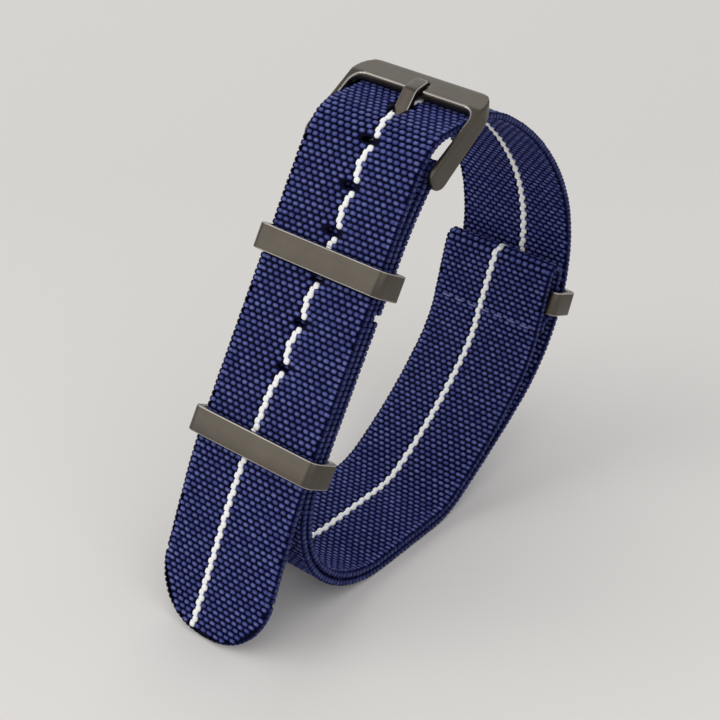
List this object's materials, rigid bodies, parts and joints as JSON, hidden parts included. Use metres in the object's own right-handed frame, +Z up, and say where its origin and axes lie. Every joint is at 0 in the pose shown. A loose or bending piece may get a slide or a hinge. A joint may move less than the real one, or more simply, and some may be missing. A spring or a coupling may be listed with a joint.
{
  "type": "nato watch strap",
  "caption": "Woven one-piece watch strap folded round a pin buckle, with an inner strap, sliding keepers and an end ring, buckled into a standing loop.",
  "frame": {"origin": "on the table under the axis of the buckle pin, on the flat patch where the loop stands", "axes": "+Z up, +Y across the webbing along the buckle pin, +X from the hanging tail towards the end ring"},
  "size_m": [0.0736, 0.0224, 0.0679],
  "materials": {
    "webbing": "coarse woven nylon, navy blue with one white yarn along the middle",
    "thread": "sewing thread, blue, a little lighter than the webbing",
    "gunmetal": "satin dark coated stainless steel with worn bright edges"
  },
  "bodies": {
    "strap": {"main_strap": "webbing", "short_strap": "webbing", "buckle_fold_stitching": "thread", "strap_join_stitching": "thread", "ring_fold_stitching": "thread"},
    "buckle": {"buckle_frame": "gunmetal", "buckle_pin": "gunmetal"},
    "tongue": {"tongue": "gunmetal"},
    "upper_keeper": {"keeper_upper": "gunmetal"},
    "lower_keeper": {"keeper_lower": "gunmetal"},
    "ring": {"end_ring": "gunmetal"}
  },
  "joints": [
    {"name": "buckle_swing", "type": "hinge", "parent": "strap", "child": "buckle", "pos_m": [0, 0, 0.0606], "axis": [0, -1, 0], "range_deg": [0, 3]},
    {"name": "tongue_lift", "type": "hinge", "parent": "buckle", "child": "tongue", "pos_m": [0, 0, 0.0606], "axis": [0, -1, 0], "range_deg": [0, 6]},
    {"name": "upper_keeper_slide", "type": "slide", "parent": "strap", "child": "upper_keeper", "axis": [0.5299, 0, 0.848], "range_m": [-0.01, 0.003]},
    {"name": "lower_keeper_slide", "type": "slide", "parent": "strap", "child": "lower_keeper", "axis": [0.5299, 0, 0.848], "range_m": [0, 0.012]},
    {"name": "ring_swivel", "type": "hinge", "parent": "strap", "child": "ring", "pos_m": [0.03025, 0, 0.0271], "axis": [0, -1, 0], "range_deg": [-2, 8]}
  ]
}
